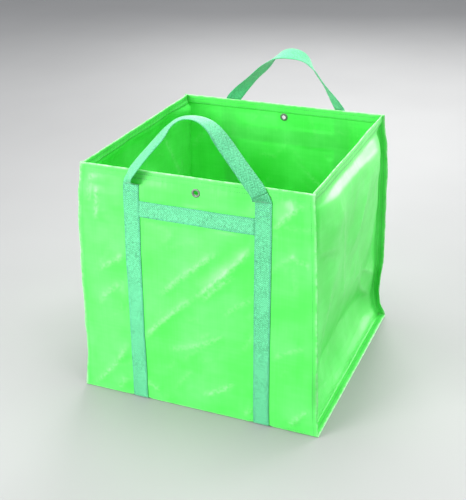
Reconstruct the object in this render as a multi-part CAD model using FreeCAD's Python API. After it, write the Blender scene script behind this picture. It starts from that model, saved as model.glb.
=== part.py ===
"""Open-topped, self-standing cube bag of coated woven cloth with two webbing handles.

Millimetres. +Z is up, -Y is the front, and the origin is on the floor under the middle of the bag.
The four walls lean inwards a little, so the mouth is smaller than the base. The side walls are
sewn to the front, back and base with the raw edges outwards, which leaves a flat fin along
every side seam. Two webbing straps are sewn up the front, under the base and up the back.
Above the sewing each strap is free, and the pair is bridged by an arch that is the handle.
"""

import math
import os

import FreeCAD, Part

# Cloth body.
base_width = 434.0
base_depth = 460.0
mouth_width = 394.0
mouth_depth = 423.0
rim_height = 450.0
cloth = 0.6
seam_allowance = 15.0
hem_height = 18.0
hem_layers = 2

# Webbing.
webbing_width = 30.0
webbing = 1.5
band_spacing = 240.0
strap_middle = 6.0
sewn_below_rim = 26.0
cross_below_rim = 55.0

# Handle arch: its centre line runs up each strap, bends inwards and meets over the middle.
handle_rise = 112.0
root_radius = 45.0
crown_radius = 50.0
rim_twist = 55.0
hinge_above_rim = 1.5
webbing_gap = 0.6
split_gap = 0.4
section_step = 6.0

# Eyelets, midway between the straps.
eyelet_bore = 8.0
eyelet_wall = 0.4
eyelet_flange = 16.0
eyelet_sheet = 0.5
eyelet_below_rim = 27.0
roll_diameter = 10.6

# Sewing thread.
thread_width = 0.6
thread_height = 0.3
hem_rows_below_rim = (7.0, 15.0)
fin_row_inset = 8.0
band_row_inset = 2.5
crease_row_height = 4.0
box_height = 26.0

# Worked out from the values above.
floor_of_cloth = webbing
side_slope = (base_width - mouth_width) / 2 / rim_height
face_slope = (base_depth - mouth_depth) / 2 / rim_height
sewn_top = rim_height - sewn_below_rim
cross_top = rim_height - cross_below_rim
hinge_height = rim_height + hinge_above_rim
eyelet_height = rim_height - eyelet_below_rim
band_centre = band_spacing / 2
band_edge = band_centre - webbing_width / 2

FACES = {"front": -1, "back": 1}
SIDES = {"left": -1, "right": 1}


def side_x(z):
    """Distance from the middle to a side wall's outer face at height z."""
    return base_width / 2 - side_slope * z


def face_y(z):
    """Distance from the middle to the front or back wall's outer face at height z."""
    return base_depth / 2 - face_slope * z


def band_middle(side):
    """Place of a strap's centre line across the wall."""
    return strap_middle + SIDES[side] * band_centre


def save(shape, node):
    """Write one sub-part as a STEP file."""
    shape.exportStep("parts/" + node + ".step")


def prism(corners, push):
    """The solid between a flat polygon and its copy moved by push."""
    points = [FreeCAD.Vector(*c) for c in corners]
    face = Part.Face(Part.makePolygon(points + points[:1]))
    return face.extrude(FreeCAD.Vector(*push))


def on_face(face, x_low, x_high, z_low, z_high, depth, thickness):
    """A plate parallel to the front or back wall.

    Each x limit is a number or a function of height. depth is how far the plate starts outside
    the wall's outer face, and thickness is counted outwards from there.
    """
    def x_at(limit, z):
        return limit(z) if callable(limit) else limit

    outward = FACES[face]
    corners = []
    for limit, z in ((x_low, z_low), (x_high, z_low), (x_high, z_high), (x_low, z_high)):
        corners.append((x_at(limit, z), outward * (face_y(z) + depth), z))
    return prism(corners, (0, outward * thickness, 0))


def on_side(side, inset, z_low, z_high, depth, thickness):
    """A plate parallel to a side wall, from front to back, kept inset inside both faces."""
    outward = SIDES[side]
    corners = []
    for end, z in ((-1, z_low), (1, z_low), (1, z_high), (-1, z_high)):
        corners.append((outward * (side_x(z) + depth), end * (face_y(z) - inset), z))
    return prism(corners, (outward * thickness, 0, 0))


def wall_frame(face):
    """Outward normal of the front or back wall."""
    lean = math.atan(face_slope)
    return FreeCAD.Vector(0, FACES[face] * math.cos(lean), math.sin(lean))


def eyelet_seat(face):
    """Centre of the eyelet on the wall's outer face."""
    return FreeCAD.Vector(strap_middle, FACES[face] * face_y(eyelet_height), eyelet_height)


def eyelet_tube(face, low, high, radius):
    """A cylinder on the eyelet's axis between two depths counted outwards from the wall."""
    normal = wall_frame(face)
    start = eyelet_seat(face) + normal * low
    return Part.makeCylinder(radius, high - low, start, normal)


def face_panel(face):
    """Front or back wall with its two fins, folded hem and eyelet hole."""
    def fin_edge(z):
        return side_x(z) + seam_allowance

    def hem_edge(z):
        return side_x(z) - cloth * (1 + hem_layers)

    panel = on_face(
        face, lambda z: -fin_edge(z), fin_edge, floor_of_cloth, rim_height, -cloth, cloth
    )
    hem = on_face(
        face,
        lambda z: -hem_edge(z),
        hem_edge,
        rim_height - hem_height,
        rim_height,
        -cloth * (1 + hem_layers),
        cloth * hem_layers,
    )
    hole = eyelet_tube(face, -10, 10, eyelet_bore / 2 + eyelet_wall)
    return panel.fuse(hem).removeSplitter().cut(hole)


def side_panel(side):
    """Side wall with its hem and the outward seam allowances along three edges."""
    outward = SIDES[side]
    foot = floor_of_cloth + cloth
    wall = on_side(side, cloth, foot, rim_height, -cloth, cloth)
    hem = on_side(
        side,
        cloth * (1 + hem_layers),
        rim_height - hem_height,
        rim_height,
        -cloth * (1 + hem_layers),
        cloth * hem_layers,
    )
    pieces = [hem]
    for face in FACES:
        pieces.append(
            on_face(
                face,
                lambda z: outward * (side_x(z) - cloth),
                lambda z: outward * (side_x(z) + seam_allowance),
                foot,
                rim_height,
                -2 * cloth,
                cloth,
            )
        )
    inner, outer = side_x(foot) - cloth, side_x(foot) + seam_allowance
    reach = face_y(foot) - 1.5 * cloth
    corners = [(outward * x, y, foot) for x, y in
               ((inner, -reach), (outer, -reach), (outer, reach), (inner, reach))]
    pieces.append(prism(corners, (0, 0, cloth)))
    return wall.fuse(pieces).removeSplitter()


def base_panel():
    """Flat bottom, wide enough to carry the fins along both side seams."""
    half_width = side_x(floor_of_cloth) + seam_allowance
    half_depth = face_y(floor_of_cloth + cloth) - cloth
    corner = FreeCAD.Vector(-half_width, -half_depth, floor_of_cloth)
    return Part.makeBox(2 * half_width, 2 * half_depth, cloth, corner)


def strap_band(face, side):
    """The sewn strap on the front or back wall, from the floor to the top of the sewing."""
    middle = band_middle(side)
    return on_face(
        face, middle - webbing_width / 2, middle + webbing_width / 2, 0, sewn_top, 0, webbing
    )


def base_band(side):
    """The same strap where it passes under the base."""
    reach = face_y(webbing)
    corner = FreeCAD.Vector(band_middle(side) - webbing_width / 2, -reach, 0)
    return Part.makeBox(webbing_width, 2 * reach, webbing, corner)


def cross_strap(face):
    """The level strap between the two sewn bands."""
    low, high = strap_middle - band_edge, strap_middle + band_edge
    return on_face(face, low, high, cross_top - webbing_width, cross_top, 0, webbing)


def eyelet(face):
    """Two-part eyelet, outer half: flange, barrel and the rolled end that holds the washer."""
    flange = eyelet_tube(face, 0, eyelet_sheet, eyelet_flange / 2)
    washer_back = -cloth - eyelet_sheet
    barrel = eyelet_tube(face, washer_back - eyelet_sheet, 0, eyelet_bore / 2 + eyelet_wall)
    roll = eyelet_tube(face, washer_back - eyelet_sheet, washer_back, roll_diameter / 2)
    bore = eyelet_tube(face, -10, 10, eyelet_bore / 2)
    return flange.fuse([barrel, roll]).removeSplitter().cut(bore)


def eyelet_washer(face):
    """Two-part eyelet, inner half: the flat ring on the inside of the wall."""
    ring = eyelet_tube(face, -cloth - eyelet_sheet, -cloth, eyelet_flange / 2)
    return ring.cut(eyelet_tube(face, -10, 10, eyelet_bore / 2 + eyelet_wall))


def arch_angle():
    """Lean of the arch's straight legs from upright: the line that touches both bends."""
    across = -(band_centre - root_radius)
    up = rim_height + handle_rise - crown_radius - sewn_top
    reach = math.hypot(across, up)
    return math.atan2(up, across) - math.acos((root_radius - crown_radius) / reach), reach


def leg_lengths():
    """Lengths of the root bend, the straight leg and half of the crown."""
    angle, reach = arch_angle()
    straight = math.sqrt(reach**2 - (root_radius - crown_radius) ** 2)
    return root_radius * angle, straight, crown_radius * (math.pi / 2 - angle)


def leg_point(run):
    """Across, height and lean of the right leg's centre line, run along it from the sewing."""
    angle = arch_angle()[0]
    root, straight, crown = leg_lengths()
    if run <= root:
        lean = run / root_radius
        across = band_centre - root_radius * (1 - math.cos(lean))
        return across, sewn_top + root_radius * math.sin(lean), lean
    if run <= root + straight:
        past = run - root
        across = band_centre - root_radius * (1 - math.cos(angle)) - past * math.sin(angle)
        return across, sewn_top + root_radius * math.sin(angle) + past * math.cos(angle), angle
    lean = angle + (run - root - straight) / crown_radius
    crown_centre = rim_height + handle_rise - crown_radius
    return crown_radius * math.cos(lean), crown_centre + crown_radius * math.sin(lean), lean


def rim_run():
    """How far along the leg the hinge height is reached."""
    low, high = 0.0, sum(leg_lengths())
    for _ in range(40):
        middle = (low + high) / 2
        if leg_point(middle)[1] < hinge_height:
            low = middle
        else:
            high = middle
    return low


def ease(share):
    """Smooth step from 0 to 1."""
    share = min(max(share, 0.0), 1.0)
    return share * share * (3 - 2 * share)


def twist(run):
    """Turn of the webbing about its own length: flat on the wall, nearly edge-on at the rim,
    and lying flat over the hand at the top."""
    length = sum(leg_lengths())
    below = rim_twist * ease(run / rim_run())
    above = (90.0 - rim_twist) * ease((run - 0.55 * length) / (0.45 * length))
    return math.radians(below + above)


def section(face, side, run):
    """Four corners of the webbing at this place, and how it stands off the wall.

    The inner edge slides up the wall's outer face, so the centre stands off by half a width
    times the sine of the twist.
    """
    across, height, lean = leg_point(run)
    turn = twist(run)
    out, hand = FACES[face], SIDES[side]
    stand = webbing_gap + webbing_width / 2 * math.sin(turn) + webbing / 2 * math.cos(turn)
    wall = face_y(min(height, rim_height))
    middle = FreeCAD.Vector(strap_middle + hand * across, out * (wall + stand), height)
    wide = FreeCAD.Vector(
        hand * math.cos(turn) * math.cos(lean), -out * math.sin(turn), math.cos(turn) * math.sin(lean)
    )
    thick = FreeCAD.Vector(
        hand * math.sin(turn) * math.cos(lean), out * math.cos(turn), math.sin(turn) * math.sin(lean)
    )
    half_wide, half_thick = wide * (webbing_width / 2), thick * (webbing / 2)
    return [
        middle - half_wide - half_thick,
        middle + half_wide - half_thick,
        middle + half_wide + half_thick,
        middle - half_wide + half_thick,
    ]


def ribbon(sections):
    """A closed strip through rectangular sections."""
    wires = [Part.makePolygon(corners + corners[:1]) for corners in sections]
    return Part.makeLoft(wires, True, True)


def steps(start, end):
    """Evenly spaced runs from start to end, about one section_step apart."""
    count = max(1, round((end - start) / section_step))
    return [start + (end - start) * i / count for i in range(count + 1)]


def handle_root(face, side):
    """Free webbing from the top of the sewing to the rim, where it starts to twist."""
    runs = steps(split_gap, rim_run() - split_gap / 2)
    return ribbon([section(face, side, run) for run in runs])


def handle_loop(face):
    """The arch above the rim that the hand holds, from one leg over the top to the other."""
    runs = steps(rim_run() + split_gap / 2, sum(leg_lengths()))
    left = [section(face, "left", run) for run in runs]
    right = [section(face, "right", run) for run in reversed(runs[:-1])]
    return ribbon(left + right)


def row(face, x_low, x_high, height, depth):
    """One level row of thread on the front or back wall."""
    half = thread_width / 2
    return on_face(face, x_low, x_high, height - half, height + half, depth, thread_height)


def column(face, x, z_low, z_high, depth):
    """One upright row of thread; x is a number or a function of height."""
    half = thread_width / 2
    if callable(x):
        return on_face(
            face, lambda z: x(z) - half, lambda z: x(z) + half, z_low, z_high, depth, thread_height
        )
    return on_face(face, x - half, x + half, z_low, z_high, depth, thread_height)


def rim_hem_thread():
    """Two rows of stitches round the hem."""
    rows = []
    for below in hem_rows_below_rim:
        height = rim_height - below
        reach = side_x(height)
        for face in FACES:
            rows.append(row(face, -reach, reach, height, 0))
        for side in SIDES:
            half = thread_width / 2
            rows.append(on_side(side, 3 * cloth, height - half, height + half, 0, thread_height))
    return Part.makeCompound(rows)


def side_seam_thread(side):
    """The seam that closes one side: up the front fin, along the base fin, up the back fin."""
    outward = SIDES[side]
    inset = seam_allowance - fin_row_inset
    rows = []
    for face in FACES:
        rows.append(
            column(face, lambda z: outward * (side_x(z) + inset), floor_of_cloth, rim_height, 0)
        )
    fin_top = floor_of_cloth + 2 * cloth
    middle = side_x(fin_top) + inset
    reach = face_y(fin_top) - 3 * cloth
    x_low = outward * middle - thread_width / 2
    corner = FreeCAD.Vector(x_low, -reach, fin_top)
    rows.append(Part.makeBox(thread_width, 2 * reach, thread_height, corner))
    return Part.makeCompound(rows)


def strap_thread(face):
    """Rows along both edges of each sewn band and of the cross strap."""
    rows = []
    inset = webbing_width / 2 - band_row_inset
    for side in SIDES:
        for edge in (-inset, inset):
            x = band_middle(side) + edge
            rows.append(column(face, x, webbing, sewn_top - box_height, webbing))
    middle = cross_top - webbing_width / 2
    for edge in (-inset, inset):
        low, high = strap_middle - band_edge, strap_middle + band_edge
        rows.append(row(face, low, high, middle + edge, webbing))
    return Part.makeCompound(rows)


def box_thread(face):
    """A boxed stitch under each handle root: two sides and three bars."""
    rows = []
    inset = webbing_width / 2 - band_row_inset
    top, bottom = sewn_top - band_row_inset, sewn_top - box_height + band_row_inset
    for side in SIDES:
        middle = band_middle(side)
        bars = [
            row(face, middle - inset, middle + inset, z, webbing)
            for z in (bottom, (bottom + top) / 2, top)
        ]
        posts = [column(face, middle + x, bottom, top, webbing) for x in (-inset, inset)]
        rows.append(posts[0].fuse(posts[1:] + bars).removeSplitter())
    return Part.makeCompound(rows)


def crease_thread(face):
    """The row just above the bottom edge, in the stretches beside and between the bands."""
    height = floor_of_cloth + crease_row_height
    reach = side_x(height)
    ends = [-reach]
    for side in SIDES:
        ends += [band_middle(side) - webbing_width / 2, band_middle(side) + webbing_width / 2]
    ends.append(reach)
    rows = [row(face, low, high, height, 0) for low, high in zip(ends[::2], ends[1::2])]
    return Part.makeCompound(rows)


def build():
    """Write every sub-part."""
    os.makedirs("parts", exist_ok=True)
    save(base_panel(), "base_panel")
    save(rim_hem_thread(), "rim_hem_thread")
    for side in SIDES:
        save(side_panel(side), side + "_side_panel")
        save(base_band(side), side + "_base_band")
        save(side_seam_thread(side), side + "_seam_thread")
    for face in FACES:
        save(face_panel(face), face + "_panel")
        save(cross_strap(face), face + "_cross_strap")
        save(eyelet(face), face + "_eyelet")
        save(eyelet_washer(face), face + "_eyelet_washer")
        save(handle_loop(face), face + "_handle_loop")
        save(strap_thread(face), face + "_strap_thread")
        save(box_thread(face), face + "_box_thread")
        save(crease_thread(face), face + "_crease_thread")
        for side in SIDES:
            save(strap_band(face, side), face + "_" + side + "_band")
            save(handle_root(face, side), face + "_" + side + "_handle_root")


build()
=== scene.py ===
"""Looks of the open cube bag: cloth walls, webbing straps and handles, stitches and eyelets.

Metres, in the frame of the parts: +Z is up, -Y is the front, and the origin is on the floor under
the middle of the bag. Each wall is one sheet of coated cloth, worked out as a grid of points from
its own profile, its slack and its creases. Straps, stitches and eyelets sit on the same surfaces.
"""

import math

import bmesh
import bpy
import numpy as np
from mathutils import Matrix, Vector


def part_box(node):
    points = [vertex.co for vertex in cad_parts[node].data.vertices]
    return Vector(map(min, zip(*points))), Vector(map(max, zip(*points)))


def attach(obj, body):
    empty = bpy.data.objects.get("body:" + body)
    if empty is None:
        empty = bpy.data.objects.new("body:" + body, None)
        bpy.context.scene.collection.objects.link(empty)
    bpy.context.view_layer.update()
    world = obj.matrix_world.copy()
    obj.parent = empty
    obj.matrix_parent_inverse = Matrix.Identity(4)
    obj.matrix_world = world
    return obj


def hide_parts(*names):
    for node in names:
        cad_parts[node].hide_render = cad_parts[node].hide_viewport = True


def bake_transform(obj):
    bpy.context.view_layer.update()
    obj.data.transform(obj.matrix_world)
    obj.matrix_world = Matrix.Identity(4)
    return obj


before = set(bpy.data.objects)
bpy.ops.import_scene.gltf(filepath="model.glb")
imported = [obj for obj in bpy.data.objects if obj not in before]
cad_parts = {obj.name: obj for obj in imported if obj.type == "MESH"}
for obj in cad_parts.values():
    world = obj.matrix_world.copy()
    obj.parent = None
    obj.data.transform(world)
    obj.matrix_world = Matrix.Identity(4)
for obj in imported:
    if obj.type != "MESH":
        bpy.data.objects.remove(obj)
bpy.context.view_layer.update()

FACES = {"front": -1.0, "back": 1.0}
SIDES = {"left": -1.0, "right": 1.0}

# Cloth.
cloth = 0.0006
seam_allowance = 0.015
hem_height = 0.018
hem_set_in = 0.0012
bottom_fold = 0.003
side_bend = 0.002
cloth_step = 0.0026
tape_pitch = 0.0024

# Webbing.
webbing = 0.0015
webbing_edge = 0.0006
webbing_gap = 0.0006
cross_thickness = 0.9 * webbing
strap_step = 0.004
rib_pitch = 0.0036
yarn_pitch = 0.0011

# Handle arch.
root_radius = 0.045
crown_radius = 0.050
rim_twist = {"front": 53.0, "back": 35.0}
leg_twist = {"front": 60.0, "back": 63.0}
crown_twist = {"front": 97.0, "back": 118.0}
arch_sink = {"front": 0.004, "back": 0.012}
arch_sway = {"front": 0.007, "back": 0.010}

# Sewing.
stitch_pitch = 0.0042
stitch_length = 0.0034
stitch_width = 0.0007
hem_rows_below_rim = (0.007, 0.015)
fin_row_inset = 0.008
band_row_inset = 0.0025
crease_row_height = 0.0055
box_height = 0.026

# Sizes read from the frame.
panel_low, panel_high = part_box("front_panel")
hem_low, hem_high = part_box("rim_hem_thread")
thread_stand = 0.0003
base_half_width = panel_high[0] - seam_allowance
base_half_depth = -panel_low[1]
rim_height = panel_high[2]
side_slope = (base_half_width - (hem_high[0] - thread_stand)) / hem_low[2]
face_slope = (base_half_depth - (hem_high[1] - thread_stand)) / hem_low[2]

band_low, band_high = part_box("front_right_band")
other_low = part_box("front_left_band")[0]
webbing_width = band_high[0] - band_low[0]
strap_middle = (other_low[0] + band_high[0]) / 2
band_centre = (band_low[0] + band_high[0]) / 2 - strap_middle
sewn_top = band_high[2]
cross_low, cross_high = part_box("front_cross_strap")
cross_middle = (cross_low[2] + cross_high[2]) / 2
eyelet_low, eyelet_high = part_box("front_eyelet")
eyelet_height = (eyelet_low[2] + eyelet_high[2]) / 2
eyelet_bore = 0.008
eyelet_flange = eyelet_high[0] - eyelet_low[0]
loop_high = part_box("front_handle_loop")[1]
crown_top = loop_high[2] - webbing / 2


def side_x(z):
    """Distance from the middle to a side wall's outer face at height z."""
    return base_half_width - side_slope * z


def face_y(z):
    """Distance from the middle to the front or back wall's outer face at height z."""
    return base_half_depth - face_slope * z


def band_middle(side):
    """Place of a strap's centre line across the wall."""
    return strap_middle + SIDES[side] * band_centre


def smooth(share):
    """Smooth step from 0 to 1."""
    share = np.clip(share, 0.0, 1.0)
    return share * share * (3 - 2 * share)


def swell(z, middle, spread):
    """A bell curve over height, 1 at the middle."""
    return np.exp(-(((z - middle) / spread) ** 2))


# Creases: start across, start height, end across, end height, rise, spread, bow.
front_creases = (
    (-0.108, 0.124, 0.002, 0.231, 0.0071, 0.0135, 0.003),
    (-0.004, 0.226, 0.112, 0.345, 0.0068, 0.0135, -0.003),
    (-0.066, 0.224, 0.048, 0.325, 0.0044, 0.0121, 0.002),
    (0.016, 0.228, 0.078, 0.289, 0.0041, 0.0108, 0.002),
    (-0.216, 0.008, -0.136, 0.110, 0.0051, 0.0135, -0.008),
    (0.142, 0.376, 0.198, 0.430, 0.0054, 0.0149, 0.004),
    (-0.190, 0.247, -0.130, 0.287, 0.0034, 0.0095, 0.002),
    (-0.189, 0.182, -0.141, 0.229, 0.0031, 0.0121, 0.006),
    (-0.192, 0.436, -0.194, 0.378, 0.0044, 0.0068, 0.001),
    (-0.178, 0.412, -0.184, 0.345, 0.0041, 0.0135, 0.002),
    (-0.055, 0.118, 0.060, 0.170, 0.0027, 0.0121, -0.006),
    (0.010, 0.038, 0.078, 0.077, 0.0051, 0.0297, -0.004),
    (-0.162, 0.010, -0.139, 0.037, 0.0051, 0.0121, 0.001),
    (0.176, 0.010, 0.217, 0.052, 0.0051, 0.0121, 0.002),
    (0.170, 0.336, 0.208, 0.321, 0.0031, 0.0095, 0.002),
    (0.055, 0.205, 0.110, 0.248, 0.0024, 0.0135, 0.003),
    (-0.104, 0.037, -0.072, 0.024, 0.0031, 0.0081, 0.001),
    (0.092, 0.011, 0.112, 0.031, 0.0034, 0.0081, 0.001),
    (0.146, 0.142, 0.206, 0.172, 0.0020, 0.0121, 0.003),
)
back_creases = (
    (-0.190, 0.100, -0.020, 0.290, 0.0034, 0.012, 0.008),
    (0.190, 0.140, 0.030, 0.330, 0.0034, 0.012, -0.007),
    (-0.060, 0.040, 0.070, 0.110, 0.0024, 0.011, 0.004),
    (-0.200, 0.330, -0.135, 0.410, 0.0022, 0.009, 0.003),
    (0.140, 0.300, 0.205, 0.380, 0.0022, 0.009, 0.003),
)
side_creases = (
    (-0.110, 0.400, -0.020, 0.150, 0.0034, 0.013, 0.010),
    (0.060, 0.360, -0.010, 0.250, 0.0026, 0.011, 0.004),
    (-0.120, 0.240, -0.178, 0.050, 0.0032, 0.013, 0.006),
    (0.060, 0.190, 0.205, 0.060, 0.0030, 0.009, -0.010),
    (0.110, 0.160, 0.200, 0.110, 0.0022, 0.007, 0.005),
    (0.120, 0.400, 0.190, 0.250, 0.0030, 0.014, 0.004),
    (-0.190, 0.330, -0.080, 0.300, 0.0016, 0.010, 0.004),
    (0.000, 0.130, 0.110, 0.190, 0.0016, 0.010, 0.004),
)
base_creases = (
    (-0.190, 0.012, 0.190, -0.006, 0.0022, 0.010, 0.004),
    (0.004, -0.190, -0.008, 0.190, 0.0022, 0.010, 0.004),
    (-0.170, -0.150, -0.030, -0.040, 0.0016, 0.009, 0.010),
    (0.050, 0.060, 0.160, 0.160, 0.0016, 0.009, 0.008),
)


def crease_lift(across, height, crease):
    """Rise of one crease, and how sharply the cloth is bent there, which the cloth material paints as a
    highlight.

    The crease is a bowed line with tapered ends. Its section is a rounded peak that falls off
    exponentially to both sides.
    """
    x_start, z_start, x_end, z_end, rise, spread, bow = crease
    tip = 0.0022
    run_x, run_z = x_end - x_start, z_end - z_start
    length = math.hypot(run_x, run_z)
    share = ((across - x_start) * run_x + (height - z_start) * run_z) / length**2
    aside = ((across - x_start) * run_z - (height - z_start) * run_x) / length
    aside = aside + bow * 4 * share * (1 - share)
    ends = smooth(share / 0.3 + 0.2) * smooth((1 - share) / 0.3 + 0.2)
    section = np.exp(-(np.sqrt(aside**2 + tip**2) - tip) / spread)
    return rise * ends * section, ends * np.exp(-((aside / 0.0050) ** 2)) * min(abs(rise) / 0.004, 1.0)


def crumple_lines(seed, count, reach, lean):
    """Random small creases over one wall, mostly leaning one way."""
    rng = np.random.default_rng(seed)
    lines = []
    for _ in range(count):
        x, z = rng.uniform(-reach, reach), rng.uniform(0.01, rim_height - 0.03)
        turn = rng.normal(lean, 0.55)
        length = rng.uniform(0.025, 0.095)
        rise = rng.choice((-1.0, 1.0)) * rng.uniform(0.00025, 0.0011)
        run_x, run_z = length * math.cos(turn), length * math.sin(turn)
        spread, bow = rng.uniform(0.004, 0.012), rng.uniform(-0.006, 0.006)
        lines.append((x, z, x + run_x, z + run_z, rise, spread, bow))
    return lines


def ripple(across, height, seed):
    """Slow unevenness: a sum of eight long waves in random directions."""
    rng = np.random.default_rng(seed)
    total = np.zeros(np.broadcast(across, height).shape)
    for _ in range(8):
        turn, phase = rng.uniform(0, math.pi), rng.uniform(0, 2 * math.pi)
        wave = rng.uniform(0.05, 0.17)
        total += wave * np.sin(
            2 * math.pi * (across * math.cos(turn) + height * math.sin(turn)) / wave + phase
        )
    return total * 0.0045


def corner_kick(side, face, z):
    """How far the corner between two walls leans out of its straight line, along x."""
    held = smooth(z / 0.03) * smooth((rim_height - z) / 0.06)
    kicks = {
        ("left", "front"): 0.0068 * swell(z, 0.35, 0.15),
        ("right", "front"): 0.0015 * swell(z, 0.30, 0.12) - 0.002 * swell(z, 0.07, 0.06),
        ("left", "back"): 0.0045 * swell(z, 0.33, 0.13) - 0.004 * swell(z, 0.07, 0.06),
        ("right", "back"): 0.0062 * swell(z, 0.35, 0.11) - 0.0105 * swell(z, 0.055, 0.065),
    }
    return held * kicks[side, face]


walls = {
    "front": {"creases": list(front_creases) + crumple_lines(11, 46, 0.20, 0.80), "seed": 3,
              "belly": 0.0040},
    "back": {"creases": list(back_creases) + crumple_lines(12, 46, 0.20, 2.20), "seed": 4,
             "belly": 0.0060},
    "left": {"creases": list(side_creases) + crumple_lines(13, 60, 0.20, 1.90), "seed": 5,
             "belly": 0.0085},
    "right": {"creases": list(side_creases) + crumple_lines(14, 60, 0.20, 1.90), "seed": 6,
              "belly": 0.0085},
}


def wall_creases(wall, across, height):
    """Rise of all creases of a wall, and the sharpest bend at each point."""
    rise = np.zeros(np.broadcast(across, height).shape)
    bend = np.zeros_like(rise)
    for crease in walls[wall]["creases"]:
        lift, sharp = crease_lift(across, height, crease)
        rise += lift
        bend = np.maximum(bend, sharp)
    return rise, bend


def under_strap(across, height):
    """1 where a sewn band or the cross strap stiffens the wall, fading to 0 beside it."""
    cover = np.zeros(np.broadcast(across, height).shape)
    for side in SIDES:
        aside = np.abs(across - band_middle(side)) - webbing_width / 2
        cover = np.maximum(cover, smooth(1 - aside / 0.008) * (height < sewn_top + 0.01))
    aside = np.abs(height - cross_middle) - webbing_width / 2
    between = np.abs(across - strap_middle) < band_centre
    return np.maximum(cover, smooth(1 - aside / 0.008) * between)


def pucker(across, height):
    """Small gathers that the hem's stitch rows pull into the cloth."""
    middle = rim_height - sum(hem_rows_below_rim) / 2
    wave = np.sin(across * 520.0) + 0.6 * np.sin(across * 790.0 + 1.3)
    return 0.00012 * wave * swell(height, middle - 0.004, 0.012)


def fin_lean(beyond, height):
    """How far a fin bends back towards its side wall: most at its raw edge, just above the floor,
    with a slow flutter all the way up."""
    flutter = 0.0011 * np.sin(height * 61.0) + 0.0007 * np.sin(height * 143.0 + 2.0)
    back = 0.0065 * beyond**2 * swell(height, 0.075, 0.075)
    return (beyond * flutter - back) * smooth(height / 0.035)


def face_relief(face, across, height):
    """How far the front or back wall stands outside its plane, along y."""
    inside = smooth((side_x(height) - np.abs(across)) / 0.022)
    foot = smooth(height / 0.035)
    rim = 1 - 0.75 * smooth((height - (rim_height - 0.030)) / 0.020)
    belly = walls[face]["belly"] * np.cos(math.pi / 2 * np.clip(across / side_x(height), -1, 1))
    belly = belly * np.sin(math.pi * np.clip(height / rim_height, 0, 1))
    creases = wall_creases(face, across, height)[0]
    loose = 1 - 0.65 * under_strap(across, height)
    uneven = ripple(across, height, walls[face]["seed"])
    relief = inside * foot * (belly + rim * loose * (creases + uneven)) + inside * pucker(across, height)
    beyond = np.maximum(np.abs(across) - side_x(height), 0) / seam_allowance
    return relief + fin_lean(beyond, height)


side_roll = 0.0135
roll_below_rim = 0.042


def side_relief(side, along, height):
    """How far a side wall stands outside its plane, along x: a roll that starts just under the
    hem, a belly below it, a long inward fold above the floor, and the creases. Towards the back
    the wall falls away into a valley beside the fin."""
    reach = face_y(height)
    share = np.clip(along / reach, -1, 1)
    corners = (corner_kick(side, "front", height) * (1 - share) / 2
               + corner_kick(side, "back", height) * (1 + share) / 2)
    inside = smooth((reach - np.abs(along)) / 0.030)
    foot = smooth(height / 0.020)
    rim = 1 - 0.75 * smooth((height - (rim_height - 0.030)) / 0.020)
    round_off = np.clip((1 + share) / 0.5, 0, 1) ** 0.5 * smooth((1 - share) / 0.42)
    belly = walls[side]["belly"] * smooth((rim_height - height) / 0.050) * smooth((height - 0.09) / 0.22)
    below = side_roll * swell(height, rim_height - roll_below_rim, 0.100)
    start = smooth((rim_height - height) / roll_below_rim)
    above = (side_roll - rim_flare(height)) * start
    belly = belly + np.where(height < rim_height - roll_below_rim, below, above)
    fold_height = 0.052 + 0.038 * (1 - share**2)
    off = np.sqrt((height - fold_height) ** 2 + 0.008**2) - 0.008
    fold = -0.0170 * np.exp(-off / 0.050) * smooth(height / 0.045)
    uneven = 1.3 * ripple(along, height, walls[side]["seed"])
    creases = wall_creases(side, along, height)[0]
    shape = round_off * (belly + fold) + rim * (creases + uneven)
    return corners + rim_flare(height) + inside * (foot * shape + pucker(along, height))


def floor_rise(across):
    """Height that the base bands lift the cloth off the floor."""
    rise = np.zeros(np.shape(across))
    for side in SIDES:
        aside = np.abs(across - band_middle(side)) - webbing_width / 2
        rise = np.maximum(rise, smooth(1 - aside / 0.010))
    return rise * webbing


floor_of_cloth = cloth / 2 + 0.00005


def face_profile():
    """The middle layer of a front or back wall from the base over the rim and down the hem.

    Columns: distance along, distance out from the middle, height, outward part and upward part
    of the normal. The runs are the flap under the bag, the bottom fold, the wall, the fold over
    the rim and the hem inside.
    """
    half = cloth / 2
    hem_bend = hem_set_in / 2
    wall_foot = floor_of_cloth + bottom_fold
    wall_top = rim_height - half - hem_bend
    fold_out = face_y(wall_foot) - half - bottom_fold
    rows = []
    for out in np.linspace(fold_out - 0.010, fold_out, 4)[:-1]:
        rows.append((out, floor_of_cloth, 0.0, -1.0))
    for turn in np.linspace(0, math.pi / 2, 7):
        rows.append((fold_out + bottom_fold * math.sin(turn), wall_foot - bottom_fold * math.cos(turn),
                     math.sin(turn), -math.cos(turn)))
    count = round((wall_top - wall_foot) / cloth_step)
    for z in np.linspace(wall_foot, wall_top, count + 1)[1:]:
        rows.append((face_y(z) - half, z, 1.0, face_slope))
    for turn in np.linspace(0, math.pi, 7)[1:]:
        out = face_y(wall_top) - half - hem_bend + hem_bend * math.cos(turn)
        rows.append((out, wall_top + hem_bend * math.sin(turn), math.cos(turn), math.sin(turn)))
    for z in np.linspace(wall_top, rim_height - hem_height, 8)[1:]:
        rows.append((face_y(z) - half - hem_set_in, z, -1.0, 0.0))
    table = np.array(rows)
    steps = np.hypot(np.diff(table[:, 0]), np.diff(table[:, 1]))
    return np.column_stack([np.concatenate([[0], np.cumsum(steps)]), table])


profile = face_profile()


def run_at(height):
    """Distance along the face profile where the outside of the wall is at this height."""
    top = int(np.argmax(profile[:, 2]))
    return np.interp(height, profile[:top + 1, 2], profile[:top + 1, 0])


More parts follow.
